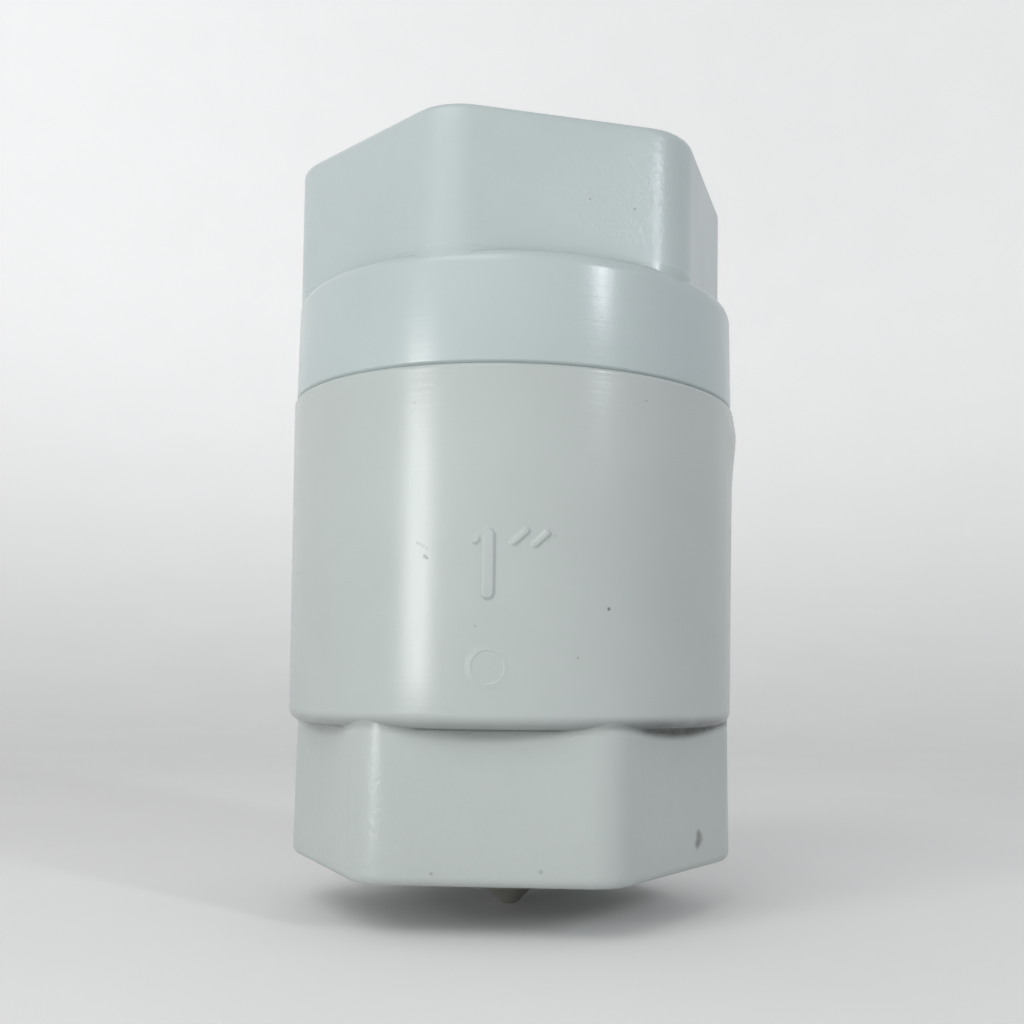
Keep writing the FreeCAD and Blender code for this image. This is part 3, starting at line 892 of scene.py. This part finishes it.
class VALVE_OT_spring(bpy.types.Operator):
    """Coil spring with closed ends"""

    bl_idname = "valve.spring"
    bl_label = "Spring"

    turns: FloatProperty(name="Turns", description="Turns of wire", default=7.0)

    def execute(self, context):
        low, high = size_in("spring", 0, 2), size_in("spring", 1, 2)
        outer = size_in("spring", 1, 0)
        wire, closed = 0.4, 1.1
        closed_pitch = 2.05 * wire
        turn = np.linspace(0, self.turns, int(self.turns * 48) + 1)
        at_end = (turn < closed) | (turn > self.turns - closed)
        free = high - low - 2 * wire - 2 * closed * closed_pitch
        pitch = np.where(at_end, closed_pitch, free / (self.turns - 2 * closed))
        kernel = np.hanning(31) / np.hanning(31).sum()
        pitch = np.convolve(np.pad(pitch, 15, mode="edge"), kernel, mode="valid")
        climb = np.concatenate([[0], np.cumsum((pitch[1:] + pitch[:-1]) / 2 * np.diff(turn))])
        climb *= (high - low - 2 * wire) / climb[-1]
        bearing = (turn * math.tau)[:, None]
        round_wire = np.linspace(0, math.tau, 16, endpoint=False)[None]
        reach = outer - wire + wire * np.cos(round_wire)
        height = low + wire + climb[:, None] + wire * np.sin(round_wire)
        rings = np.stack([reach * np.cos(bearing), reach * np.sin(bearing), height + 0 * bearing], -1)
        coil = capped_tube("spring_coil", rings[:, ::-1])
        keep(coil, BODY, "spring_steel", FINISHES["spring_steel"], "spring")
        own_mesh(coil)
        return {"FINISHED"}


class VALVE_OT_inner_finishes(bpy.types.Operator):
    """Finishes on the poppet, seals, guide, washers, screw and rings"""

    bl_idname = "valve.inner_finishes"
    bl_label = "Inner finishes"

    def execute(self, context):
        for node, finish in NODE_FINISHES.items():
            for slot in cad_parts[node].material_slots:
                slot.link = "OBJECT"
                slot.material = FINISHES[finish]
        return {"FINISHED"}


class VALVE_OT_finishes(bpy.types.Operator):
    """Materials of every slot"""

    bl_idname = "valve.finishes"
    bl_label = "Finishes"

    def execute(self, context):
        make_finishes()
        return {"FINISHED"}


# ---------------------------------------------------------------- stage


def area_light(name, energy, size, place, target, colour):
    """Rectangular lamp at place, facing target, both in millimetres."""
    lamp = bpy.data.lights.new(name, "AREA")
    lamp.shape = "RECTANGLE"
    lamp.size, lamp.size_y = size[0] * MM, size[1] * MM
    lamp.energy = energy
    lamp.color = colour
    holder = bpy.data.objects.new(name, lamp)
    bpy.context.scene.collection.objects.link(holder)
    start, end = Vector(place) * MM, Vector(target) * MM
    holder.location = start
    holder.visible_camera = False
    holder.rotation_euler = (end - start).to_track_quat("-Z", "Y").to_euler()
    return holder


def paper_bowl(level):
    """Seamless paper at a level: flat, then a quarter circle upwards, then upright, all round."""
    flat, curve, rise = 330.0, 800.0, 1500.0
    swing = np.linspace(0, math.pi / 2, 17)
    reach = np.concatenate([[1.0, flat], flat + curve * np.sin(swing[1:]), [flat + curve]])
    lift = np.concatenate([[0.0, 0.0], curve - curve * np.cos(swing[1:]), [rise]])
    around = np.linspace(0, math.tau, 96, endpoint=False)
    points = np.stack(
        np.broadcast_arrays(
            reach[:, None] * np.cos(around),
            reach[:, None] * np.sin(around),
            level + lift[:, None],
        ),
        -1,
    ).reshape(-1, 3)
    faces = grid_faces(len(reach), len(around), False)
    faces.append(list(range(len(around))))
    return mesh_piece("floor", points, faces)


def floor_paper(settings):
    """Matt white paper that glows a little far from the valve, more at the back and at the left."""
    paper = Finish("floor_paper")
    mottling = paper.noise(20, detail=2)
    base = paper.ramp(mottling, [(0.3, (0.79, 0.79, 0.79)), (0.7, (0.81, 0.81, 0.81))])
    paper.link(base, paper.shader.inputs["Base Color"])
    paper.shader.inputs["Roughness"].default_value = 0.9
    paper.shader.inputs["Emission Color"].default_value = (0.98, 0.99, 1.0, 1.0)
    away = paper.add("ShaderNodeVectorMath", operation="LENGTH")
    paper.link(paper.place, away.inputs[0])
    side = paper.add("ShaderNodeSeparateXYZ")
    paper.link(paper.place, side.inputs[0])
    back = paper.sum("MULTIPLY", paper.mask(side.outputs["Y"], 0.0, 1.0), settings.back_glow)
    left = paper.sum("MULTIPLY", paper.mask(side.outputs["X"], 0.3, -1.0), settings.left_glow)
    glow = paper.sum("ADD", back, left, settings.wall_glow)
    glow = paper.sum("MULTIPLY", glow, paper.mask(away.outputs["Value"], 0.1, 1.1))
    paper.link(glow, paper.shader.inputs["Emission Strength"])
    paper.material.cycles.emission_sampling = "NONE"
    return paper.material


def sky(strength):
    """Even white light from everywhere."""
    world = bpy.data.worlds.new("studio")
    world.use_nodes = True
    backdrop = world.node_tree.nodes["Background"]
    backdrop.inputs["Color"].default_value = (1.0, 1.0, 1.0, 1.0)
    backdrop.inputs["Strength"].default_value = strength
    return world


def front_camera():
    """Camera low in front, looking slightly up; its place is in millimetres."""
    lens = bpy.data.cameras.new("camera")
    lens.sensor_width = 36.0
    lens.lens = 43.15
    lens.shift_x = -0.0627
    lens.shift_y = 0.1000
    lens.clip_start = 0.01
    camera = bpy.data.objects.new("camera", lens)
    bpy.context.scene.collection.objects.link(camera)
    bearing, tilt, roll = math.radians(2.87), 0.0513, 0.0114
    place = Matrix.Rotation(bearing, 4, "Z") @ Vector((8.0, -154.9, 22.4)) * MM
    camera.matrix_world = (
        Matrix.Translation(place)
        @ Matrix.Rotation(bearing, 4, "Z")
        @ Matrix.Rotation(math.pi / 2 + tilt, 4, "X")
        @ Matrix.Rotation(roll, 4, "Z")
    )
    return camera


class VALVE_OT_stage(bpy.types.Operator):
    """Pale seamless floor, soft lights and the camera"""

    bl_idname = "valve.stage"
    bl_label = "Stage"

    def execute(self, context):
        scene = context.scene
        settings = scene.valve_stage
        floor = paper_bowl(size_in("poppet", 0, 2) - 0.02)
        floor.data.materials.append(floor_paper(settings))
        scene.world = sky(settings.sky)
        scene.view_settings.view_transform = "Standard"
        aim = (0, 0, 45)
        area_light("key", settings.key, (260, 220), (-110, -250, 330), aim, (1.0, 0.99, 0.98))
        area_light("front", settings.front, (900, 260), (-50, -500, 170), aim, (1.0, 1.0, 1.0))
        area_light("left_strip", settings.left, (62, 118), (-193, -230, 54), aim, (0.97, 1.0, 0.96))
        area_light("right_strip", settings.right, (32, 100), (335, -300, 232), aim, (0.92, 0.96, 1.0))
        scene.camera = front_camera()
        return {"FINISHED"}


# ---------------------------------------------------------------- panel and registration


class VALVE_PT_panel(bpy.types.Panel):
    """The valve's pieces, in building order"""

    bl_idname = "VALVE_PT_panel"
    bl_label = "Check Valve"
    bl_space_type = "VIEW_3D"
    bl_region_type = "UI"
    bl_category = "Check Valve"

    def draw(self, context):
        column = self.layout.column()
        for group in ("valve_shell", "valve_threads", "valve_colours", "valve_stage"):
            settings = getattr(context.scene, group)
            for name in settings.__annotations__:
                column.prop(settings, name)
        for step in STEPS:
            column.operator(step.bl_idname)


STEPS = (
    VALVE_OT_finishes,
    VALVE_OT_body,
    VALVE_OT_cap,
    VALVE_OT_marks,
    VALVE_OT_spring,
    VALVE_OT_inner_finishes,
    VALVE_OT_stage,
)
GROUPS = {
    "valve_shell": ShellSizes,
    "valve_threads": ThreadSizes,
    "valve_colours": Colours,
    "valve_stage": StageSettings,
}


def register():
    """Register the settings, operators and panel."""
    for name, group in GROUPS.items():
        bpy.utils.register_class(group)
        setattr(bpy.types.Scene, name, PointerProperty(type=group))
    for step in STEPS:
        bpy.utils.register_class(step)
    bpy.utils.register_class(VALVE_PT_panel)


def unregister():
    """Take everything out again."""
    bpy.utils.unregister_class(VALVE_PT_panel)
    for step in reversed(STEPS):
        bpy.utils.unregister_class(step)
    for name, group in reversed(GROUPS.items()):
        delattr(bpy.types.Scene, name)
        bpy.utils.unregister_class(group)


def main():
    register()
    for step in STEPS:
        group, name = step.bl_idname.split(".")
        getattr(getattr(bpy.ops, group), name)()


if __name__ == "__main__":
    main()
